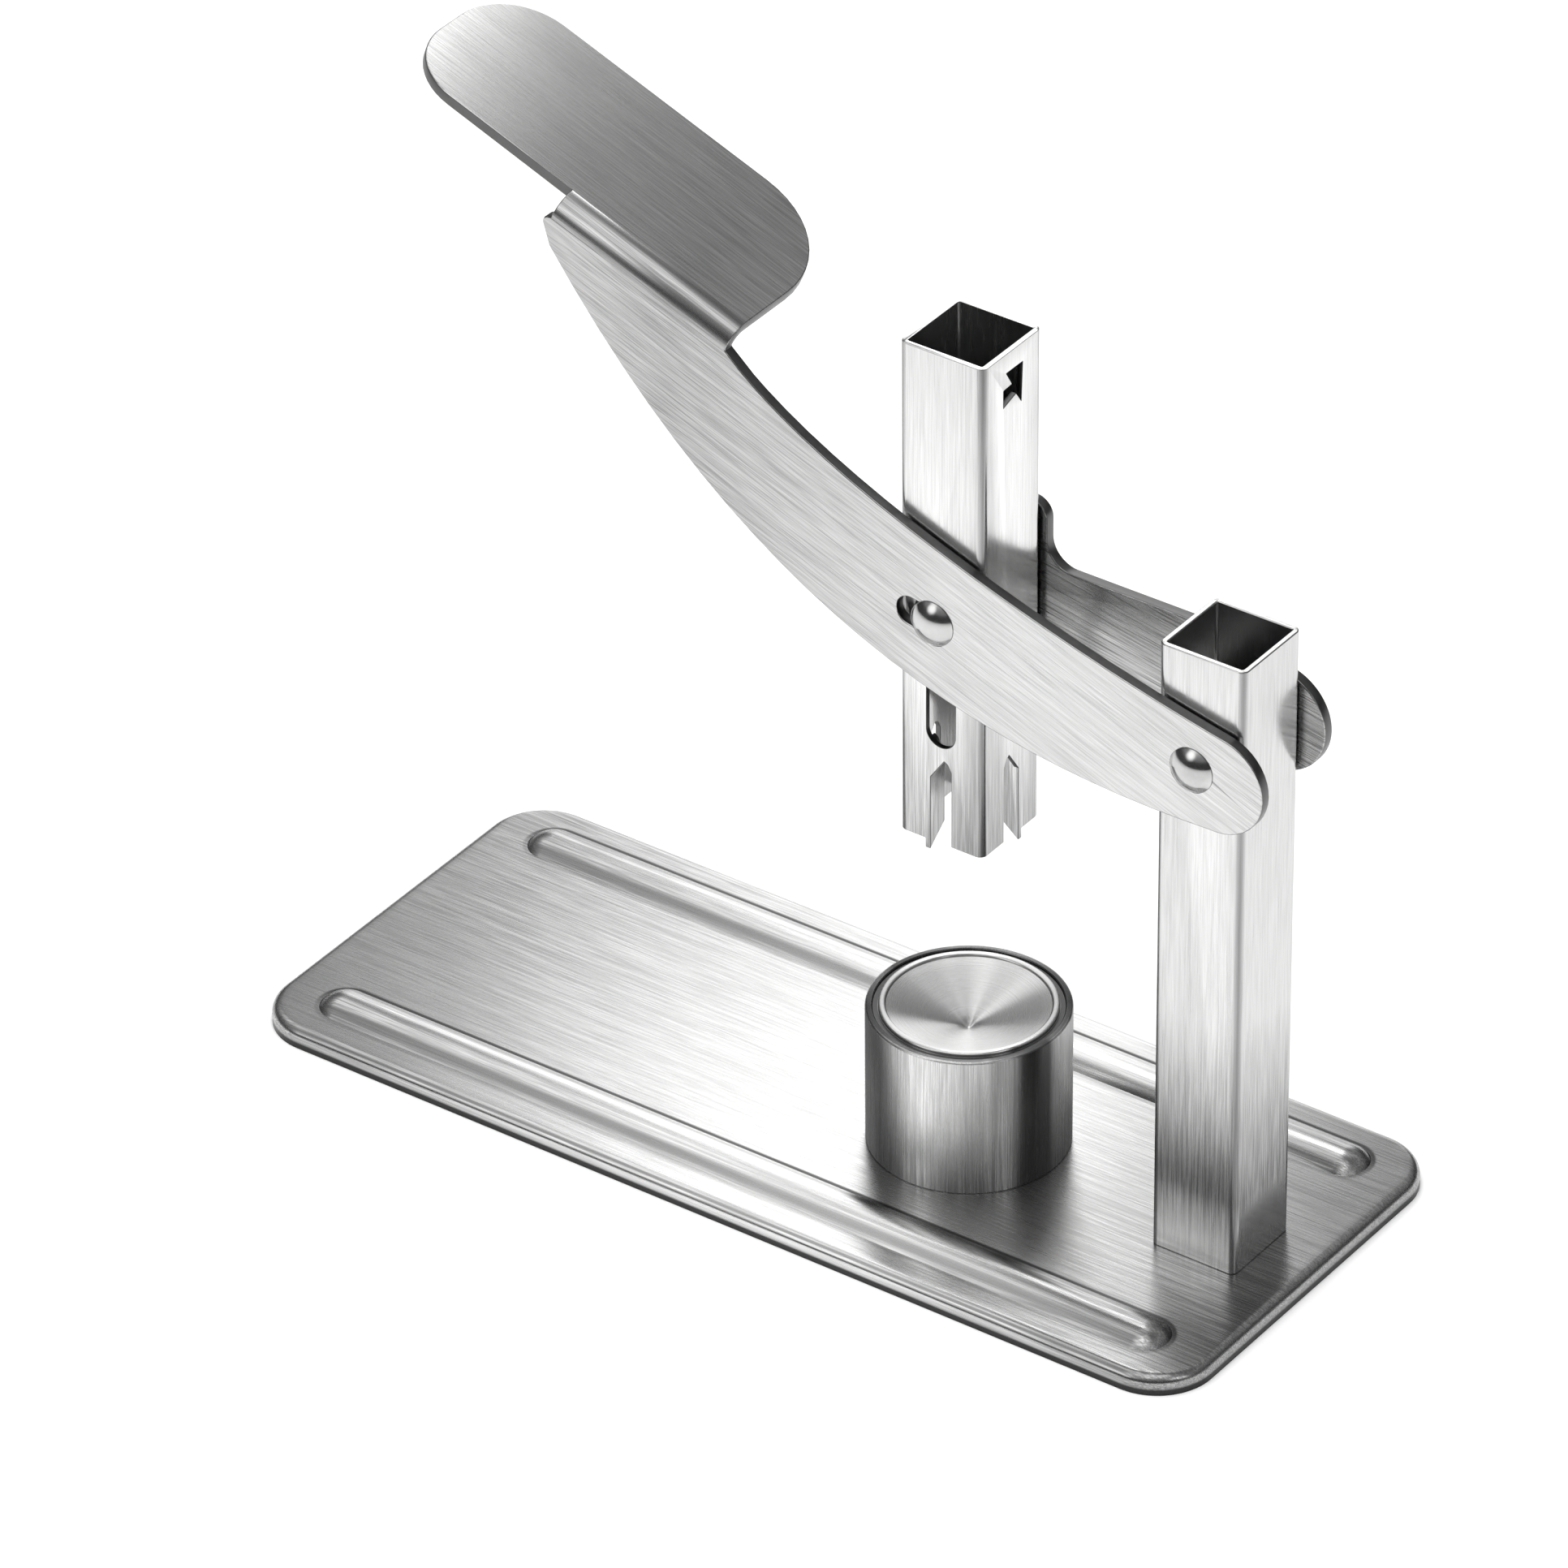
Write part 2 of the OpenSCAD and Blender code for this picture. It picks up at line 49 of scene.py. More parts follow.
base_lo, base_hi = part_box("base_plate")
column_lo, column_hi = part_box("column_tube")
sleeve_lo, sleeve_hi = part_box("cup_sleeve")
dish_lo, dish_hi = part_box("cup_dish")
head_lo, head_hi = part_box("press_head")

column_x = (column_lo.x + column_hi.x) / 2
head_x = (head_lo.x + head_hi.x) / 2
base_top = column_lo.z
base_length = base_hi.x - base_lo.x
tube_w = column_hi.x - column_lo.x
cup_r = (sleeve_hi.x - sleeve_lo.x) / 2
dish_r = (dish_hi.x - dish_lo.x) / 2
TUBE_WALL = 1.2 * MM
TUBE_CORNER = 1.6 * MM
SHEET = 1.5 * MM
RIB_WIDTH = 12 * MM
RIB_Y = 36 * MM
RIB_SHORT = 20 * MM
PALM_TILT = math.radians(20.9)
PALM_BEND_R = 5 * MM
X_WAY, Y_WAY = Vector((1, 0, 0)), Vector((0, 1, 0))


def middle(node):
    """The middle of a CAD node's box."""
    lo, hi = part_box(node)
    return (lo + hi) / 2


# the bend between the arm and its palm plate, placed from the pivot
PALM_BACK, PALM_ABOVE = 150.5 * MM, 77 * MM
palm_up = Vector((math.sin(PALM_TILT), 0, math.cos(PALM_TILT)))
bend_top = Vector((column_x - PALM_BACK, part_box("lever_arm")[0].y + PALM_BEND_R,
                   middle("pivot_rivet").z + PALM_ABOVE))
bend_axis = bend_top - palm_up * PALM_BEND_R


# ---- modelling helpers -----------------------------------------------------------------------------

def let_go():
    """Leaves edit mode and deselects everything."""
    if bpy.context.object and bpy.context.object.mode != "OBJECT":
        bpy.ops.object.mode_set(mode="OBJECT")
    bpy.ops.object.select_all(action="DESELECT")


def hold(piece):
    """Makes a piece the only selected and active one."""
    let_go()
    piece.select_set(True)
    bpy.context.view_layer.objects.active = piece


def edit(piece, kind="VERT"):
    """Opens a piece for editing with nothing selected."""
    hold(piece)
    bpy.ops.object.mode_set(mode="EDIT")
    bpy.ops.mesh.select_mode(type=kind)
    bpy.ops.mesh.select_all(action="DESELECT")


def pick_faces(piece, wanted):
    """In edit mode, selects the faces for which wanted(face) is true."""
    bpy.ops.object.mode_set(mode="OBJECT")
    for part in (piece.data.vertices, piece.data.edges):
        for item in part:
            item.select = False
    for face in piece.data.polygons:
        face.select = wanted(face)
    bpy.ops.object.mode_set(mode="EDIT")
    bpy.ops.mesh.select_mode(type="FACE")


def add_modifier(piece, kind, **settings):
    """Adds a modifier and applies it."""
    hold(piece)
    mod = piece.modifiers.new(kind.title(), kind)
    for key, value in settings.items():
        setattr(mod, key, value)
    bpy.ops.object.modifier_apply(modifier=mod.name)


def settle(piece, angle=35):
    """Puts a piece's place into its mesh, merges doubles, turns faces outwards and shades it smooth."""
    hold(piece)
    bpy.ops.object.transform_apply(location=True, rotation=True, scale=True)
    edit(piece)
    bpy.ops.mesh.select_all(action="SELECT")
    bpy.ops.mesh.remove_doubles(threshold=1e-6)
    bpy.ops.mesh.normals_make_consistent(inside=False)
    hold(piece)
    bpy.ops.object.shade_smooth_by_angle(angle=math.radians(angle))


def soften(piece, width, segments=3, angle=30):
    """Breaks the sharp edges of a finished shape."""
    add_modifier(piece, "BEVEL", width=width, segments=segments, limit_method="ANGLE",
                 angle_limit=math.radians(angle), miter_outer="MITER_ARC", use_clamp_overlap=True)


def even_shading(piece):
    """Lets the large flat faces set the shading beside a bevel."""
    add_modifier(piece, "WEIGHTED_NORMAL", keep_sharp=True, weight=80)


def level_shading(piece, ways):
    """Shades the faces that look one of these ways flat, and leaves the rounds between them smooth."""
    for face in piece.data.polygons:
        if any(abs(face.normal.dot(way)) > 0.99995 for way in ways):
            face.use_smooth = False


def round_rect(name, length, width, corner, centre, segments=16):
    """A flat rounded rectangle, one face, lying level."""
    let_go()
    bpy.ops.mesh.primitive_plane_add(size=1, location=centre)
    piece = bpy.context.object
    piece.name = name
    piece.scale = (length, width, 1)
    bpy.ops.object.transform_apply(location=False, rotation=False, scale=True)
    edit(piece)
    bpy.ops.mesh.select_all(action="SELECT")
    bpy.ops.mesh.bevel(offset=corner, segments=segments, affect="VERTICES", clamp_overlap=False)
    bpy.ops.mesh.select_all(action="SELECT")
    bpy.ops.mesh.remove_doubles(threshold=2e-5)
    return piece


def steps(moves):
    """In edit mode, insets the selected face by (inward, up) again and again."""
    for inward, up in moves:
        bpy.ops.mesh.inset(thickness=inward, depth=up, use_even_offset=True)


def quarter(n):
    """The angles of a quarter turn in n steps."""
    return [math.pi / 2 * i / n for i in range(n + 1)]


def quarter_round(r, n=6):
    """Inset steps, each (inward, up), that follow a quarter of a circle from a wall to a flat."""
    spots = [(r * (1 - math.cos(a)), r * math.sin(a)) for a in quarter(n)]
    return [(b[0] - a[0], b[1] - a[1]) for a, b in zip(spots, spots[1:])]


def turned(name, profile, place, axis="Z", around=96, closed=False):
    """A lathe-turned piece. profile is a list of (radius, height) from its first ring to its last."""
    let_go()
    point = 0.01 * MM
    first_r, first_z = profile[0]
    bpy.ops.mesh.primitive_circle_add(vertices=around, radius=max(first_r, point), location=(0, 0, first_z))
    piece = bpy.context.object
    piece.name = name
    bpy.ops.object.transform_apply(location=True, rotation=False, scale=False)
    edit(piece, "EDGE")
    bpy.ops.mesh.select_all(action="SELECT")
    if first_r < point and not closed:
        bpy.ops.mesh.edge_face_add()
    for (r0, z0), (r1, z1) in zip(profile, profile[1:]):
        ratio = max(r1, point) / max(r0, point)
        bpy.ops.mesh.extrude_edges_move(TRANSFORM_OT_translate={"value": (0, 0, z1 - z0)})
        bpy.ops.transform.resize(value=(ratio, ratio, 1), center_override=(0, 0, z1))
    if not closed:
        bpy.ops.mesh.edge_face_add()
    bpy.ops.mesh.select_all(action="SELECT")
    bpy.ops.mesh.remove_doubles(threshold=4e-6)
    bpy.ops.mesh.normals_make_consistent(inside=False)
    hold(piece)
    if axis == "Y":
        piece.rotation_euler = (math.pi / 2, 0, 0)
    piece.location = place
    settle(piece)
    return piece


def ride_as(piece, node, body):
    """The piece stands for a CAD node and moves with its body."""
    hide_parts(node)
    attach(piece, body)


# ---- materials -------------------------------------------------------------------------------------

def new_material(name):
    """An empty material with its output and one shader."""
    mat = bpy.data.materials.new(name)
    mat.use_nodes = True
    nodes = mat.node_tree.nodes
    nodes.clear()
    out = nodes.new("ShaderNodeOutputMaterial")
    shader = nodes.new("ShaderNodeBsdfPrincipled")
    mat.node_tree.links.new(shader.outputs["BSDF"], out.inputs["Surface"])
    return mat, nodes, mat.node_tree.links, shader


def mapped(nodes, links, source, scale, turn=(0, 0, 0)):
    """A pattern's coordinates, turned and stretched."""
    spot = nodes.new("ShaderNodeMapping")
    spot.vector_type = "TEXTURE"
    spot.inputs["Rotation"].default_value = turn
    spot.inputs["Scale"].default_value = scale
    links.new(source, spot.inputs["Vector"])
    return spot.outputs["Vector"]


def noise(nodes, links, vector, scale, detail=4.0, rough=0.6):
    """A noise pattern."""
    tex = nodes.new("ShaderNodeTexNoise")
    tex.inputs["Scale"].default_value = scale
    tex.inputs["Detail"].default_value = detail
    tex.inputs["Roughness"].default_value = rough
    links.new(vector, tex.inputs["Vector"])
    return tex.outputs["Fac"]


def spread(nodes, links, value, low, high, from_low=0.3, from_high=0.7):
    """Maps a pattern's middle range to low..high."""
    ramp = nodes.new("ShaderNodeMapRange")
    for key, number in (("From Min", from_low), ("From Max", from_high), ("To Min", low), ("To Max", high)):
        ramp.inputs[key].default_value = number
    links.new(value, ramp.inputs["Value"])
    return ramp.outputs["Result"]


def maths(nodes, links, kind, a, b):
    """One sum on two values, each a socket or a number."""
    node = nodes.new("ShaderNodeMath")
    node.operation = kind
    for i, value in enumerate((a, b)):
        if isinstance(value, (int, float)):
            node.inputs[i].default_value = value
        else:
            links.new(value, node.inputs[i])
    return node.outputs[0]


def tinted(nodes, links, value, dark, light):
    """A colour between two shades of steel."""
    mix = nodes.new("ShaderNodeMix")
    mix.data_type = "RGBA"
    mix.inputs["A"].default_value = (*dark, 1)
    mix.inputs["B"].default_value = (*light, 1)
    links.new(value, mix.inputs["Factor"])
    return mix.outputs["Result"]


def parts_of(nodes, links, vector):
    """The X, Y and Z of a vector, by name."""
    apart = nodes.new("ShaderNodeSeparateXYZ")
    links.new(vector, apart.inputs[0])
    return apart.outputs


def steel_tone(value):
    """A steel grey, very slightly warm."""
    return value, value, value * 0.995


def grey_ramp(nodes, marks):
    """A colour ramp through greys; marks are (place, grey)."""
    ramp = nodes.new("ShaderNodeValToRGB")
    elements = ramp.color_ramp.elements
    while len(elements) < len(marks):
        elements.new(0.5)
    for element, (place, grey) in zip(elements, marks):
        element.position = place
        element.color = (grey, grey, grey, 1)
    return ramp


def from_axis(nodes, links, where, centre):
    """The level direction and the distance of a point from an upright axis."""
    offset = nodes.new("ShaderNodeVectorMath")
    offset.operation = "SUBTRACT"
    offset.inputs[1].default_value = centre
    links.new(where, offset.inputs[0])
    apart = parts_of(nodes, links, offset.outputs[0])
    flat = nodes.new("ShaderNodeCombineXYZ")
    links.new(apart["X"], flat.inputs["X"])
    links.new(apart["Y"], flat.inputs["Y"])
    radius = nodes.new("ShaderNodeVectorMath")
    radius.operation = "LENGTH"
    links.new(flat.outputs[0], radius.inputs[0])
    return flat.outputs[0], radius.outputs["Value"]


def grain_runs(nodes, links, shader, direction, amount, across):
    """Stretches the shine along a direction, or square to it where across is true."""
    shader.inputs["Anisotropic"].default_value = amount
    shader.inputs["Anisotropic Rotation"].default_value = 0.25 if across else 0.0
    turn_out = nodes.new("ShaderNodeVectorTransform")
    turn_out.vector_type = "VECTOR"
    turn_out.convert_from = "OBJECT"
    turn_out.convert_to = "WORLD"
    links.new(direction, turn_out.inputs[0])
    links.new(turn_out.outputs[0], shader.inputs["Tangent"])


def darkened(nodes, links, colour, amount, shade):
    """Mixes a colour towards a dark shade by an amount."""
    mix = nodes.new("ShaderNodeMix")
    mix.data_type = "RGBA"
    mix.inputs["B"].default_value = (shade, shade, shade, 1)
    links.new(amount, mix.inputs["Factor"])
    links.new(colour, mix.inputs["A"])
    return mix.outputs["Result"]


def bumped(nodes, links, shader, height, strength, distance):
    """Raises a pattern a little out of the surface."""
    bump = nodes.new("ShaderNodeBump")
    bump.inputs["Strength"].default_value = strength
    bump.inputs["Distance"].default_value = distance
    links.new(height, bump.inputs["Height"])
    links.new(bump.outputs["Normal"], shader.inputs["Normal"])


# Each of these paints shade or reflections into brushed steel: a function that takes a colour and returns it
# darkened.

def painted_crease_shade(rib_y, straight, half_width):
    """Painted shade: a dark line in the crease round a rib, strongest along its rear side."""
    def mark(nodes, links, where, streak, colour):
        spot = parts_of(nodes, links, where)
        off_y = maths(nodes, links, "SUBTRACT", maths(nodes, links, "ABSOLUTE", spot["Y"], 0), rib_y)
        past_end = maths(nodes, links, "SUBTRACT", maths(nodes, links, "ABSOLUTE", spot["X"], 0), straight)
        past_end = maths(nodes, links, "MAXIMUM", past_end, 0.0)
        square_sum = maths(nodes, links, "ADD", maths(nodes, links, "MULTIPLY", past_end, past_end),
                           maths(nodes, links, "MULTIPLY", off_y, off_y))
        away = maths(nodes, links, "SQRT", square_sum, 0)
        inside = spread(nodes, links, away, 0.0, 1.0, half_width - 1.3 * MM, half_width - 0.2 * MM)
        outside = spread(nodes, links, away, 1.0, 0.0, half_width + 0.3 * MM, half_width + 0.8 * MM)
        rearward = maths(nodes, links, "MULTIPLY", off_y, maths(nodes, links, "SIGN", spot["Y"], 0))
        depth = spread(nodes, links, rearward, 0.25, 0.88, -3 * MM, 3 * MM)
        line = maths(nodes, links, "MULTIPLY", maths(nodes, links, "MULTIPLY", inside, outside), depth)
        return darkened(nodes, links, colour, line, 0.03)
    return mark


def painted_lip_shade(centre, lip_radius):
    """Painted shade on everything inward of a round wall's lip: its flat top and its bore."""
    def mark(nodes, links, where, streak, colour):
        radius = from_axis(nodes, links, where, centre)[1]
        lip_shade_amount = spread(nodes, links, radius, 0.85, 0.0, lip_radius - 0.1 * MM, lip_radius)
        return darkened(nodes, links, colour, lip_shade_amount, 0.12)
    return mark


def painted_corner_shade(axis_x, half):
    """A dark line of painted shade down each rounded corner of an upright square tube."""
    def mark(nodes, links, where, streak, colour):
        spot = parts_of(nodes, links, where)
        off_x = maths(nodes, links, "ABSOLUTE", maths(nodes, links, "SUBTRACT", spot["X"], axis_x), 0)
        off_y = maths(nodes, links, "ABSOLUTE", spot["Y"], 0)
        into_corner = maths(nodes, links, "MINIMUM", off_x, off_y)
        line = spread(nodes, links, into_corner, 0.0, 0.8, half - 1.5 * MM, half - 0.5 * MM)
        return darkened(nodes, links, colour, line, 0.2)
    return mark


def painted_reflection_bands(centre, start, tones):
    """Painted reflections: light and dark bands down a round wall; tones are (share of a half turn,
    darkness), met twice.
    """
    def mark(nodes, links, where, streak, colour):
        spot = parts_of(nodes, links, from_axis(nodes, links, where, centre)[0])
        bearing = maths(nodes, links, "ARCTAN2", spot["Y"], spot["X"])
        half_turns = maths(nodes, links, "DIVIDE", maths(nodes, links, "SUBTRACT", bearing, start), math.pi)
        band = grey_ramp(nodes, tones)
        links.new(maths(nodes, links, "FRACT", half_turns, 0), band.inputs["Fac"])
        return darkened(nodes, links, colour, band.outputs["Color"], 0.04)
    return mark


def painted_shade_zone(axis, full, clear, amount, start=None):
    """A stretch of painted shade: full at one place on an axis, clear at another; start is where it sets in.
    """
    def mark(nodes, links, where, streak, colour):
        spot = parts_of(nodes, links, where)[axis]
        zone = spread(nodes, links, spot, amount, 0.0, full, clear)
        if start:
            zone = maths(nodes, links, "MULTIPLY", zone, spread(nodes, links, spot, 0.0, 1.0, *start))
        uneven = spread(nodes, links, streak, 1.25, 0.75, 0.4, 0.6)
        return darkened(nodes, links, colour, maths(nodes, links, "MULTIPLY", zone, uneven), 0.08)
    return mark


def painted_rim_shade(height):
    """Painted shade along the lower edge of a sheet's rim."""
    def mark(nodes, links, where, streak, colour):
        edge = spread(nodes, links, parts_of(nodes, links, where)["Z"], 0.95, 0.0, height, height + 0.5 * MM)
        return darkened(nodes, links, colour, edge, 0.03)
    return mark


# the length, width and depth of one scratch or cloud of the brushed grain
FINE_SCRATCH = (13 * MM, 0.24 * MM, 0.24 * MM)
LONG_SCRATCH = (35 * MM, 0.7 * MM, 0.7 * MM)
CLOUD = (50 * MM, 30 * MM, 30 * MM)


def brushed_steel(name, turn=(0, 0, 0), rough=(0.2, 0.34), along=(1, 0, 0), tones=(0.70, 0.90), grain=1.0,
                  shine=0.6, across=False, marks=()):
    """Stainless steel with a fine directional grain that runs along the turned X axis."""
    mat, nodes, links, shader = new_material(name)
    where = nodes.new("ShaderNodeTexCoord").outputs["Object"]
    fine = noise(nodes, links, mapped(nodes, links, where, FINE_SCRATCH, turn), 1.0, 2.0, 0.6)
    lines = noise(nodes, links, mapped(nodes, links, where, LONG_SCRATCH, turn), 1.0, 2.0, 0.6)
    cloud = noise(nodes, links, mapped(nodes, links, where, CLOUD, turn), 1.0, 3.0, 0.5)
    streak = maths(nodes, links, "ADD", maths(nodes, links, "MULTIPLY", fine, 0.72),
                   maths(nodes, links, "MULTIPLY", lines, 0.28))
    shade = spread(nodes, links, streak, 0.0, 1.0, 0.36, 0.64)
    colour = tinted(nodes, links, shade, *(steel_tone(tone) for tone in tones))
    # the convex edges are darkened: painted shade along every edge
    painted_edge_shade = nodes.new("ShaderNodeNewGeometry").outputs["Pointiness"]
    colour = darkened(nodes, links, colour, spread(nodes, links, painted_edge_shade, 0.0, 0.7, 0.51, 0.58), 0.16)
    for mark in marks:
        colour = mark(nodes, links, where, streak, colour)
    links.new(colour, shader.inputs["Base Color"])
    base = spread(nodes, links, streak, rough[1], rough[0], 0.35, 0.65)
    links.new(maths(nodes, links, "ADD", base, spread(nodes, links, cloud, -0.03, 0.04)),
              shader.inputs["Roughness"])
    bumped(nodes, links, shader, streak, 0.13 * grain, 0.03 * MM)
    shader.inputs["Metallic"].default_value = 1.0
    run = nodes.new("ShaderNodeCombineXYZ")
    for i, value in enumerate(along):
        run.inputs[i].default_value = value
    grain_runs(nodes, links, shader, run.outputs[0], shine, across)
    return mat


def turned_steel(name, centre, groove_from, rough=(0.2, 0.3), tones=(0.5, 0.72), shine=0.95):
    """Stainless steel turned on a lathe: fine rings round an upright axis, and painted shade in the groove
    outside them.
    """
    mat, nodes, links, shader = new_material(name)
    where = nodes.new("ShaderNodeTexCoord").outputs["Object"]
    flat, radius = from_axis(nodes, links, where, centre)
    rings_at = nodes.new("ShaderNodeCombineXYZ")
    links.new(radius, rings_at.inputs["X"])
    rings = noise(nodes, links, mapped(nodes, links, rings_at.outputs[0], (0.00016, 1, 1)), 1.0, 3.0, 0.6)
    cloud = noise(nodes, links, mapped(nodes, links, where, (0.02, 0.02, 0.02)), 1.0, 3.0, 0.5)
    shade = spread(nodes, links, rings, 0.0, 1.0, 0.3, 0.7)
    colour = tinted(nodes, links, shade, *(steel_tone(tone) for tone in tones))
    groove_shade = spread(nodes, links, radius, 0.0, 0.9, groove_from, groove_from + 0.1 * MM)
    links.new(darkened(nodes, links, colour, groove_shade, 0.06), shader.inputs["Base Color"])
    base = spread(nodes, links, rings, rough[1], rough[0], 0.35, 0.65)
    links.new(maths(nodes, links, "ADD", base, spread(nodes, links, cloud, -0.02, 0.02)),
              shader.inputs["Roughness"])
    bumped(nodes, links, shader, rings, 0.08, 0.02 * MM)
    shader.inputs["Metallic"].default_value = 1.0
    grain_runs(nodes, links, shader, flat, shine, False)
    return mat


def polished_steel(name, tone=1.0, rough=(0.1, 0.2)):
    """Stainless steel tumbled to a soft shine, with faint scuffs."""
    mat, nodes, links, shader = new_material(name)
    where = nodes.new("ShaderNodeTexCoord").outputs["Object"]
    cloud = noise(nodes, links, mapped(nodes, links, where, (0.004, 0.004, 0.004)), 1.0, 4.0, 0.6)
    fine = noise(nodes, links, mapped(nodes, links, where, (0.0005, 0.0005, 0.0005)), 1.0, 3.0, 0.6)
    shade = spread(nodes, links, cloud, 0, 1)
    links.new(tinted(nodes, links, shade, steel_tone(0.6 * tone), steel_tone(0.76 * tone)),
              shader.inputs["Base Color"])
    links.new(spread(nodes, links, cloud, rough[0], rough[1]), shader.inputs["Roughness"])
    bumped(nodes, links, shader, fine, 0.12, 0.03 * MM)
    shader.inputs["Metallic"].default_value = 1.0
    return mat


def black_rubber(name):
    """Matt black rubber with a fine moulded texture."""
    mat, nodes, links, shader = new_material(name)
    where = nodes.new("ShaderNodeTexCoord").outputs["Object"]
    fine = noise(nodes, links, mapped(nodes, links, where, (0.0006, 0.0006, 0.0006)), 1.0, 4.0, 0.6)
    cloud = noise(nodes, links, mapped(nodes, links, where, (0.006, 0.006, 0.006)), 1.0, 3.0, 0.5)
    dark, light = (0.018, 0.018, 0.018), (0.035, 0.034, 0.033)
    shade = spread(nodes, links, cloud, 0, 1)
    links.new(tinted(nodes, links, shade, dark, light), shader.inputs["Base Color"])
    links.new(spread(nodes, links, cloud, 0.65, 0.85), shader.inputs["Roughness"])
    bumped(nodes, links, shader, fine, 0.4, 0.08 * MM)
    return mat


UPRIGHT = (0, math.pi / 2, 0)
PALM_WAY = (math.cos(PALM_TILT), 0, -math.sin(PALM_TILT))
cup_axis = (head_x, 0, 0)
# the base's painted shade: in the ribs' creases, towards both ends, and along the rim's lower edge
base_marks = (painted_crease_shade(RIB_Y, (base_length - RIB_SHORT - RIB_WIDTH) / 2, RIB_WIDTH / 2),
              painted_shade_zone("X", base_lo.x + 15 * MM, -5 * MM, 0.5),
              painted_shade_zone("X", base_hi.x - 10 * MM, 40 * MM, 0.57),
              painted_rim_shade(base_lo.z + 1.2 * MM))
# painted shade on the column's foot, streaked
column_foot_shade = painted_shade_zone("Z", base_top + 20 * MM, base_top + 58 * MM, 0.7,
                        start=(base_top + 5 * MM, base_top + 17 * MM))
# where the painted reflection bands start round the cup, set from the camera's bearing
REFLECTION_BANDS_FROM = math.radians(-144.26)
cup_painted_reflections = painted_reflection_bands(cup_axis, REFLECTION_BANDS_FROM, (
    (0, 0.88), (0.17, 0.78), (0.27, 0.3), (0.35, 0.0), (0.42, 0.16), (0.53, 0.24), (0.55, 0.06), (0.57, 0.42),
    (0.65, 0.62), (0.7, 0.85), (0.77, 0.86), (0.8, 0.3), (0.86, 0.36), (0.93, 0.66), (1.0, 0.85)))

base_steel = brushed_steel("base_brushed_steel", rough=(0.2, 0.32), tones=(0.69, 0.86), marks=base_marks)
column_steel = brushed_steel("column_brushed_steel", turn=UPRIGHT, rough=(0.15, 0.26), along=(0, 0, 1),
                             tones=(0.78, 0.96), marks=(painted_corner_shade(column_x, tube_w / 2), column_foot_shade))
# the head carries painted shade down its corners and towards its lower end
head_steel = brushed_steel("head_brushed_steel", turn=UPRIGHT, rough=(0.15, 0.26), along=(0, 0, 1),
                           tones=(0.78, 0.96),
                           marks=(painted_corner_shade(head_x, tube_w / 2),
                                  painted_shade_zone("Z", head_lo.z, head_lo.z + 42 * MM, 0.5)))
# the cup carries painted reflection bands, and painted shade inward of its lip and towards its foot
cup_steel = brushed_steel("cup_brushed_steel", turn=UPRIGHT, rough=(0.24, 0.34), along=(0, 0, 1), grain=1.4,
                          tones=(0.66, 0.98), shine=0.9,
                          marks=(painted_lip_shade(cup_axis, cup_r - 0.45 * MM), cup_painted_reflections,
                                 painted_shade_zone("Z", sleeve_lo.z, sleeve_lo.z + 16 * MM, 0.6)))
# the lever carries a stretch of painted shade, set along X
lever_steel = brushed_steel("lever_brushed_steel", turn=(0, PALM_TILT, 0), rough=(0.17, 0.28), along=PALM_WAY,
                            tones=(0.54, 0.76), across=True,
                            marks=(painted_shade_zone("X", -30 * MM, 50 * MM, 0.4, start=(-110 * MM, -30 * MM)),))
# the cheek's darker tones are painted shade: it stands in shade behind the tubes
cheek_shaded_steel = brushed_steel("cheek_shaded_brushed_steel", turn=(0, PALM_TILT / 2, 0), rough=(0.2, 0.32), grain=2.0,
                            tones=(0.24, 0.62), across=True)
dish_steel = turned_steel("dish_turned_steel", cup_axis, dish_r - 1.1 * MM)
# the sheared edges are duller than the brushed faces, and are painted much darker as shade
cut_dull_and_shade_steel = polished_steel("sheared_edge_dull_and_shaded_steel", tone=0.2, rough=(0.3, 0.42))
rivet_steel = polished_steel("rivet_polished_steel", tone=0.8)
plain_steel = polished_steel("plain_fastener_steel", tone=0.85, rough=(0.22, 0.34))
pad_rubber = black_rubber("pad_black_rubber")
# the washers are painted black as shade, for the shade seen through the slots
washer_shade_black = black_rubber("washer_painted_shade_black")


def paint(piece, mat):
    """Gives a piece one material."""
    piece.data.materials.clear()
    piece.data.materials.append(mat)


# ---- base plate ------------------------------------------------------------------------------------

def rib_steps(width, height, n=10):
    """Inset steps across half a rib, which is one round arc from side to side, almost to its middle."""
    arc_r = (width * width / 4 + height * height) / (2 * height)
    reach = 0.97 * width / 2
    ins = [reach * i / n for i in range(n + 1)]
    spots = [(x, math.sqrt(arc_r * arc_r - (width / 2 - x) ** 2) - arc_r + height) for x in ins]
    return [(b[0] - a[0], b[1] - a[1]) for a, b in zip(spots, spots[1:])]


def make_rib(side):
    """The pressed top of one rib, open underneath, with a narrow level border."""
    border = 0.4 * MM
    middle_spot = (0, side * RIB_Y, base_top)
    rib = round_rect("rib", base_length - RIB_SHORT, RIB_WIDTH, RIB_WIDTH / 2, middle_spot, 14)
    bpy.ops.mesh.select_all(action="SELECT")
    steps([(border, 0)])
    steps(rib_steps(RIB_WIDTH - 2 * border, base_hi.z - base_top))
    hold(rib)
    bpy.ops.object.transform_apply(location=True, rotation=True, scale=True)
    return rib


def fill_sheet(piece, bottom):
    """Fills the level sheet between the rim and the ribs: all open edges but the rim's lowest."""
    edit(piece, "EDGE")
    bpy.ops.mesh.select_non_manifold(extend=False, use_wire=True, use_boundary=True,
                                     use_multi_face=False, use_non_contiguous=False, use_verts=False)
    bpy.ops.object.mode_set(mode="OBJECT")
    for edge in piece.data.edges:
        if min(piece.data.vertices[v].co.z for v in edge.vertices) < bottom:
            edge.select = False
    bpy.ops.object.mode_set(mode="EDIT")
    bpy.ops.mesh.fill(use_beauty=True)


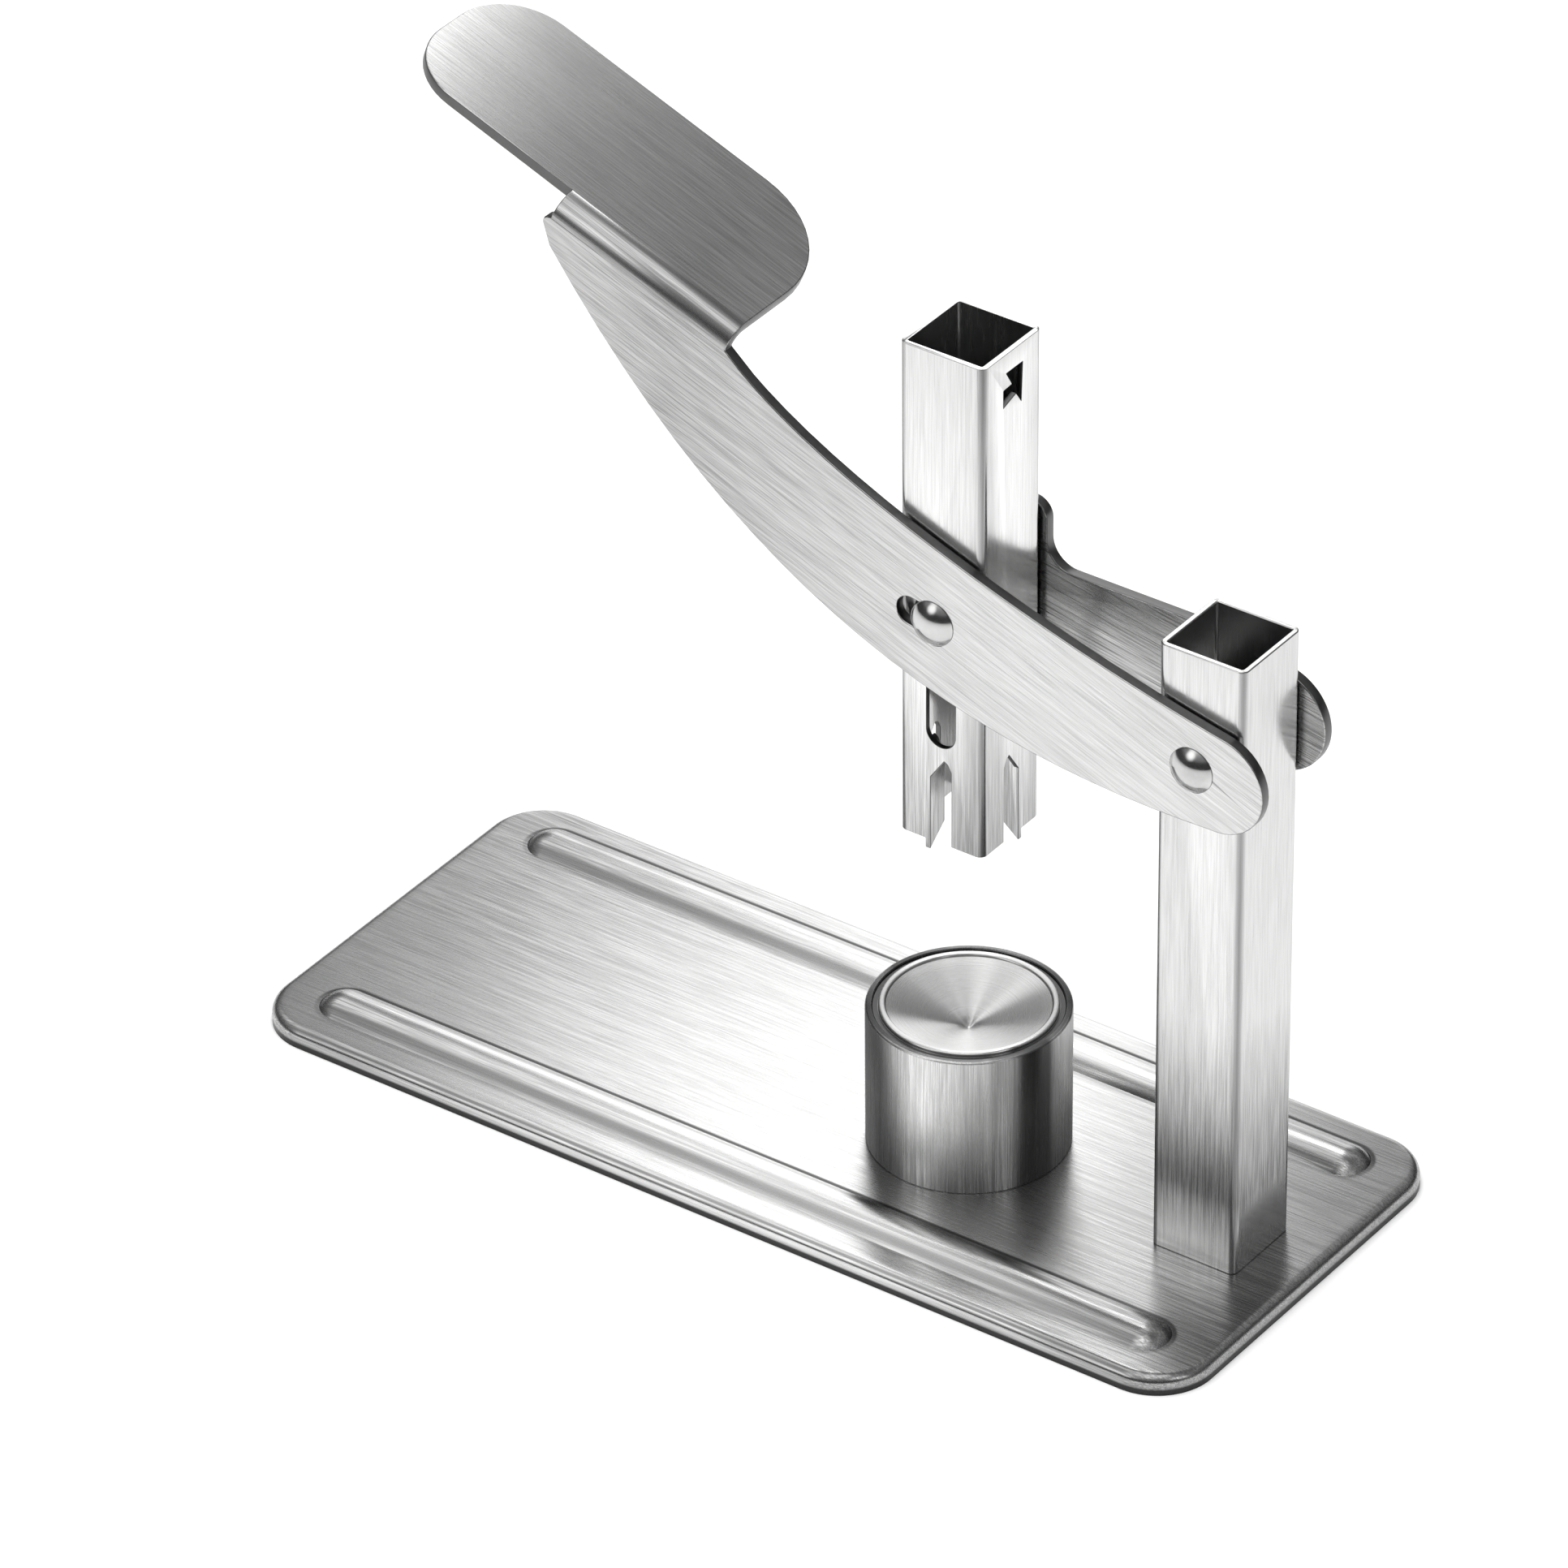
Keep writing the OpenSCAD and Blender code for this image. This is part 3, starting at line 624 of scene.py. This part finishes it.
def face_up(piece):
    """Turns the whole shell over if its level sheet looks down."""
    level = [f for f in piece.data.polygons if abs(f.center.z - base_top) < 0.01 * MM]
    if sum(f.normal.z * f.area for f in level) < 0:
        edit(piece, "FACE")
        bpy.ops.mesh.select_all(action="SELECT")
        bpy.ops.mesh.flip_normals()
        hold(piece)


def make_base():
    """The pressed base sheet: a turned-down rim, a flat top and two long ribs."""
    rim_low = base_lo.z
    rim_round = 2.2 * MM
    rim_border = 1.2 * MM
    corner = 13 * MM
    piece = round_rect("base_sheet", base_length, base_hi.y - base_lo.y, corner, (0, 0, rim_low), 20)
    bpy.ops.mesh.select_all(action="SELECT")
    rise = base_top - rim_round - rim_low
    bpy.ops.mesh.extrude_region_move(TRANSFORM_OT_translate={"value": (0, 0, rise)})
    steps(quarter_round(rim_round, 7))
    steps([(rim_border, 0)])
    bpy.ops.mesh.delete(type="ONLY_FACE")
    hold(piece)
    bpy.ops.object.transform_apply(location=True, rotation=True, scale=True)
    ribs = [make_rib(side) for side in (-1, 1)]
    hold(piece)
    for rib in ribs:
        rib.select_set(True)
    bpy.ops.object.join()
    bottom = rim_low + 0.1 * MM
    fill_sheet(piece, bottom)
    # open underneath: the first face of all is taken away, then the sheet gets its thickness
    pick_faces(piece, lambda f: f.normal.z < -0.9 and f.center.z < bottom)
    bpy.ops.mesh.delete(type="ONLY_FACE")
    bpy.ops.mesh.select_all(action="SELECT")
    bpy.ops.mesh.remove_doubles(threshold=1e-6)
    bpy.ops.mesh.normals_make_consistent(inside=False)
    hold(piece)
    face_up(piece)
    add_modifier(piece, "SOLIDIFY", thickness=SHEET, offset=-1, use_even_offset=True)
    settle(piece, 30)
    paint(piece, base_steel)
    even_shading(piece)
    ride_as(piece, "base_plate", "stand")


# ---- tubes -----------------------------------------------------------------------------------------

def square_bar(name, width, corner, low, high, segments):
    """An upright solid square bar on the column's axis."""
    bar = round_rect(name, width, width, corner, (column_x, 0, low), segments)
    bpy.ops.mesh.select_all(action="SELECT")
    bpy.ops.mesh.extrude_region_move(TRANSFORM_OT_translate={"value": (0, 0, high - low)})
    settle(bar)
    return bar


def make_column():
    """The column: square tube, open at the top, with the pivot's hole through it."""
    bore = square_bar("bore", tube_w - 2 * TUBE_WALL, TUBE_CORNER - TUBE_WALL,
                      base_top - MM, column_hi.z + MM, 6)
    piece = square_bar("column_square_tube", tube_w, TUBE_CORNER, base_top, column_hi.z, 8)
    hole_r = 3.05 * MM
    let_go()
    bpy.ops.mesh.primitive_cylinder_add(vertices=48, radius=hole_r, depth=tube_w * 1.5,
                                        location=middle("pivot_rivet"), rotation=(math.pi / 2, 0, 0))
    hole = bpy.context.object
    for cutter in (bore, hole):
        add_modifier(piece, "BOOLEAN", operation="DIFFERENCE", object=cutter, solver="EXACT")
        bpy.data.objects.remove(cutter)
    settle(piece, 30)
    soften(piece, 0.22 * MM, 2, 50)
    level_shading(piece, (X_WAY, Y_WAY))
    paint(piece, column_steel)
    ride_as(piece, "column_tube", "stand")


def sheared_face(face, mesh):
    """True for a face on the sheared edge of an upright sheet."""
    return abs(face.normal.dot(Y_WAY)) < 0.4


def sheared_arm_face(face, mesh):
    """True for a face on the sheared edge of the arm, which turns over into the palm plate at its bend."""
    off = face.center - bend_axis
    up = off.dot(palm_up)
    sheet = Y_WAY
    if up > 0:
        sheet = palm_up if off.y >= 0 else (Y_WAY * off.y + palm_up * up).normalized()
    return abs(face.normal.dot(sheet)) < 0.4


def sheared_tube_face(face, mesh):
    """True for a narrow face round an opening in the press head, and not for its long rounded corners."""
    spots = [mesh.vertices[v].co for v in face.vertices]
    round_it = sum((a - b).length for a, b in zip(spots, spots[1:] + spots[:1]))
    narrow = 2 * face.area / max(round_it, 1e-9) < TUBE_WALL - 0.05 * MM
    into_wall = tube_w / 2 - TUBE_CORNER - 0.2 * MM
    inner = min(abs(face.center.x - head_x), abs(face.center.y)) < into_wall
    return narrow and inner and face.center.z < head_hi.z - 0.3 * MM


def worked_copy(node, name, break_width, segments, body, mat, flats, sheared):
    """A cut and bent sheet or tube: the CAD shape with its sharp edges broken, and its sheared faces dull and
    painted dark as shade.
    """
    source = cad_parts[node]
    let_go()
    piece = source.copy()
    piece.data = source.data.copy()
    piece.name = name
    for key in list(piece.keys()):
        del piece[key]
    piece.parent = None
    piece.hide_render = False
    bpy.context.scene.collection.objects.link(piece)
    edit(piece)
    bpy.ops.mesh.select_all(action="SELECT")
    bpy.ops.mesh.remove_doubles(threshold=2e-6)
    bpy.ops.mesh.normals_make_consistent(inside=False)
    bpy.ops.mesh.dissolve_limited(angle_limit=math.radians(0.4))
    hold(piece)
    soften(piece, break_width, segments, 28)
    bpy.ops.object.shade_smooth_by_angle(angle=math.radians(32))
    level_shading(piece, flats)
    paint(piece, mat)
    piece.data.materials.append(cut_dull_and_shade_steel)
    for face in piece.data.polygons:
        face.material_index = 1 if sheared(face, piece.data) else 0
    ride_as(piece, node, body)


# ---- cup -------------------------------------------------------------------------------------------

def make_cup():
    """The cup: a thick sleeve, and the dish pressed into it."""
    bore = cup_r - SHEET
    high = sleeve_hi.z - sleeve_lo.z
    lip = 0.6 * MM
    lip_arc = [(cup_r - lip + lip * math.cos(a), high - lip + lip * math.sin(a)) for a in quarter(6)]
    foot_break = 0.25 * MM
    bore_break = 0.2 * MM
    profile = [(bore, 0), (cup_r - foot_break, 0), (cup_r, foot_break), (cup_r, high * 0.5), *lip_arc,
               (bore + bore_break, high), (bore, high - bore_break), (bore, 0)]
    sleeve = turned("cup_outer_sleeve", profile, (head_x, 0, sleeve_lo.z), around=128, closed=True)
    paint(sleeve, cup_steel)
    ride_as(sleeve, "cup_sleeve", "stand")

    rim = dish_hi.z - dish_lo.z
    skirt = dish_r - 0.02 * MM
    skirt_in = dish_r - SHEET
    skirt_top = rim - 0.9 * MM
    skirt_low = rim - 5 * MM
    ring_out = dish_r - 1.1 * MM
    ring_in = ring_out - 1.6 * MM
    under = rim - 2.4 * MM
    deep = 6.4 * MM
    edge = 0.48 * MM
    cone_top = edge - 0.05 * MM
    cone_low = deep - 0.35 * MM
    crown = [(ring_in + edge - edge * math.cos(a), rim - edge + edge * math.sin(a)) for a in quarter(5)]
    crown += [(ring_out - edge + edge * math.sin(a), rim - edge + edge * math.cos(a)) for a in quarter(5)]
    slope = []
    for i in range(1, 12):
        share = i / 12
        tip = 0.3 * MM * math.exp(-(ring_in * share / (1.4 * MM)) ** 2)
        slope.append((ring_in * share, rim - cone_low + (cone_low - cone_top) * share - tip))
    profile = [(0, rim - deep + 0.02 * MM), (0.5 * MM, rim - deep + 0.05 * MM), *slope, *crown,
               (ring_out, skirt_top), (skirt, skirt_top), (skirt, skirt_low), (skirt_in, skirt_low),
               (skirt_in, under), (ring_in, under), (7 * MM, 0), (0, 0)]
    dish = turned("cup_dish_insert", profile, (head_x, 0, dish_lo.z), around=128)
    paint(dish, dish_steel)
    ride_as(dish, "cup_dish", "stand")


# ---- rivets and feet -------------------------------------------------------------------------------

def make_rivet(node, name, body):
    """A rivet with two domed heads, the rim of each slightly rounded."""
    lo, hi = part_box(node)
    half = (hi.y - lo.y) / 2
    shank_r = 3 * MM
    rise = 2.2 * MM
    head_r = (hi.x - lo.x) / 2
    ball = (head_r * head_r + rise * rise) / (2 * rise)
    reach = math.asin(head_r / ball)
    dome = [(ball * math.sin(a), half - ball + ball * math.cos(a))
            for a in (reach * i / 12 * 0.985 for i in range(12, 0, -1))]
    rim = half - rise
    upper = [(shank_r, rim), (head_r - 0.15 * MM, rim), (head_r - 0.03 * MM, rim + 0.12 * MM), *dome]
    lower = [(r, -z) for r, z in reversed(upper)]
    piece = turned(name, [(0, -half), *lower, *upper, (0, half)], middle(node), axis="Y", around=64)
    paint(piece, rivet_steel)
    ride_as(piece, node, body)


def make_foot(number):
    """A rubber foot pad with a rounded lower edge and a shallow hollow underneath."""
    node = f"foot_pad_{number}"
    lo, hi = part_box(node)
    centre = middle(node)
    r = (hi.x - lo.x) / 2
    high = hi.z - lo.z
    ease = 0.4 * MM
    hollow = 0.25 * MM
    profile = [(0, hollow), (r * 0.35, hollow), (r * 0.45, 0), (r - ease, 0), (r - ease * 0.3, ease * 0.3),
               (r, ease), (r, high), (0, high)]
    piece = turned(f"rubber_foot_{number}", profile, (centre.x, centre.y, lo.z), around=48)
    paint(piece, pad_rubber)
    ride_as(piece, node, "stand")


make_base()
make_column()
make_cup()
worked_copy("lever_arm", "lever_arm_sheet", 0.3 * MM, 3, "lever", lever_steel,
            (Y_WAY, palm_up), sheared_arm_face)
worked_copy("rear_cheek", "rear_cheek_sheet", 0.3 * MM, 3, "lever", cheek_shaded_steel,
            (Y_WAY,), sheared_face)
make_rivet("pivot_rivet", "pivot_dome_rivet", "stand")
make_rivet("head_rivet", "head_dome_rivet", "head_pin")
worked_copy("press_head", "press_head_tube", 0.12 * MM, 2, "head", head_steel,
            (X_WAY, Y_WAY), sheared_tube_face)
for foot in range(1, 5):
    make_foot(foot)

# the pieces whose shape stays as it is
kept = dict.fromkeys(("column_plug", "column_screw", "cup_post", "cup_screw", "pivot_sleeve", "head_sleeve"),
                     plain_steel)
kept.update((f"{pin}_washer_{side}", washer_shade_black) for pin in ("pivot", "head") for side in ("front", "rear"))
for node, finish in kept.items():
    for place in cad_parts[node].material_slots:
        place.material = finish

# ---- studio ----------------------------------------------------------------------------------------

def make_floor():
    """A plain pale floor."""
    floor_width = 5
    let_go()
    bpy.ops.mesh.primitive_plane_add(size=floor_width, location=(0, 0, 0))
    floor = bpy.context.object
    floor.name = "studio_floor"
    mat, nodes, links, shader = new_material("floor_pale_paint")
    shader.inputs["Base Color"].default_value = (0.86, 0.86, 0.86, 1)
    shader.inputs["Roughness"].default_value = 0.7
    paint(floor, mat)


def soft_light(name, place, aim, size, power, mirrored=True):
    """A soft box of light, turned towards a point; one that isn't mirrored leaves no patch in the steel."""
    data = bpy.data.lights.new(name, "AREA")
    data.shape = "RECTANGLE"
    data.size, data.size_y = size
    data.energy = power
    lamp = bpy.data.objects.new(name, data)
    bpy.context.scene.collection.objects.link(lamp)
    lamp.location = place
    lamp.visible_camera = False
    lamp.visible_glossy = mirrored
    lamp.rotation_mode = "QUATERNION"
    lamp.rotation_quaternion = (Vector(aim) - Vector(place)).to_track_quat("-Z", "Y")


# the room's brightness from straight down (0) through the horizon (0.5) to overhead (1)
ROOM = ((0.0, 0.3), (0.47, 0.05), (0.64, 0.06), (0.77, 0.27), (0.87, 0.4), (0.95, 0.16), (1.0, 0.2))
# each glow: its direction, its bright core and its soft edge in degrees, its strength
GLOWS = (((0.05, -0.3, 0.95), 3, 30, 1.5),
         ((0.8, -0.21, 0.55), 2, 15, 1.8),
         ((-0.34, -0.76, 0.55), 4, 20, 1.6),
         ((-0.49, 0.2, 0.85), 4, 24, 1.1),
         ((-0.49, 0.84, 0.26), 4, 18, 1.5),
         ((-0.06, 0.5, 0.86), 2, 14, 0.4))
WALL_GREY = 0.93


def soft_glow(nodes, links, where, direction, core, fade, strength):
    """A round patch of brightness in the sky, even inside its core and fading smoothly to nothing."""
    aim = nodes.new("ShaderNodeVectorMath")
    aim.operation = "DOT_PRODUCT"
    aim.inputs[1].default_value = Vector(direction).normalized()
    links.new(where, aim.inputs[0])
    glow = nodes.new("ShaderNodeMapRange")
    glow.interpolation_type = "SMOOTHSTEP"
    glow.inputs["From Min"].default_value = math.cos(math.radians(fade))
    glow.inputs["From Max"].default_value = math.cos(math.radians(core))
    glow.inputs["To Max"].default_value = strength
    links.new(aim.outputs["Value"], glow.inputs["Value"])
    return glow.outputs["Result"]


def make_world():
    """A dim room with a few large soft glows, which show as smooth bands in the steel; its wall is pale."""
    world = bpy.data.worlds.new("studio_world")
    bpy.context.scene.world = world
    world.use_nodes = True
    nodes, links = world.node_tree.nodes, world.node_tree.links
    nodes.clear()
    where = nodes.new("ShaderNodeTexCoord").outputs["Generated"]
    room = grey_ramp(nodes, ROOM)
    room.color_ramp.interpolation = "EASE"
    half_up = maths(nodes, links, "MULTIPLY", parts_of(nodes, links, where)["Z"], 0.5)
    links.new(maths(nodes, links, "ADD", half_up, 0.5), room.inputs["Fac"])
    total = room.outputs["Color"]
    for glow in GLOWS:
        total = maths(nodes, links, "ADD", total, soft_glow(nodes, links, where, *glow))
    sky = nodes.new("ShaderNodeBackground")
    links.new(total, sky.inputs["Color"])
    wall = nodes.new("ShaderNodeBackground")
    wall.inputs["Color"].default_value = (WALL_GREY, WALL_GREY, WALL_GREY, 1)
    choice = nodes.new("ShaderNodeMixShader")
    links.new(nodes.new("ShaderNodeLightPath").outputs["Is Camera Ray"], choice.inputs["Fac"])
    links.new(sky.outputs[0], choice.inputs[1])
    links.new(wall.outputs[0], choice.inputs[2])
    out = nodes.new("ShaderNodeOutputWorld")
    links.new(choice.outputs[0], out.inputs["Surface"])


def make_camera():
    """The camera, by its bearing, height angle, distance and small roll."""
    azimuth, elevation, roll = (math.radians(v) for v in (35.742, 33.738, -0.492))
    aim = Vector((-0.00694, -0.00892, 0.07962))
    distance = 2.2764
    long_lens = 261.35
    back = Vector((math.sin(azimuth) * math.cos(elevation), -math.cos(azimuth) * math.cos(elevation),
                   math.sin(elevation)))
    data = bpy.data.cameras.new("studio_camera")
    camera = bpy.data.objects.new("studio_camera", data)
    bpy.context.scene.collection.objects.link(camera)
    data.sensor_width = 36
    data.lens = long_lens
    data.clip_start, data.clip_end = 0.05, 50
    camera.rotation_mode = "QUATERNION"
    upright = (-back).to_track_quat("-Z", "Y").to_matrix()
    camera.rotation_quaternion = (upright @ Matrix.Rotation(roll, 3, "Z")).to_quaternion()
    camera.location = aim + back * distance
    bpy.context.scene.camera = camera


make_floor()
make_world()
soft_light("overhead_box", (0.0, -0.1, 1.3), (0.02, -0.05, 0), (1.3, 1.1), 19, mirrored=False)
soft_light("base_card", (-0.29, 0.42, 0.34), (0.01, 0, 0), (0.2, 0.3), 0.2)
soft_light("palm_card", (-0.22, 0.42, 0.66), (-0.08, 0, 0.2), (0.16, 0.24), 0.4)
make_camera()
bpy.context.scene.view_settings.view_transform = "Standard"
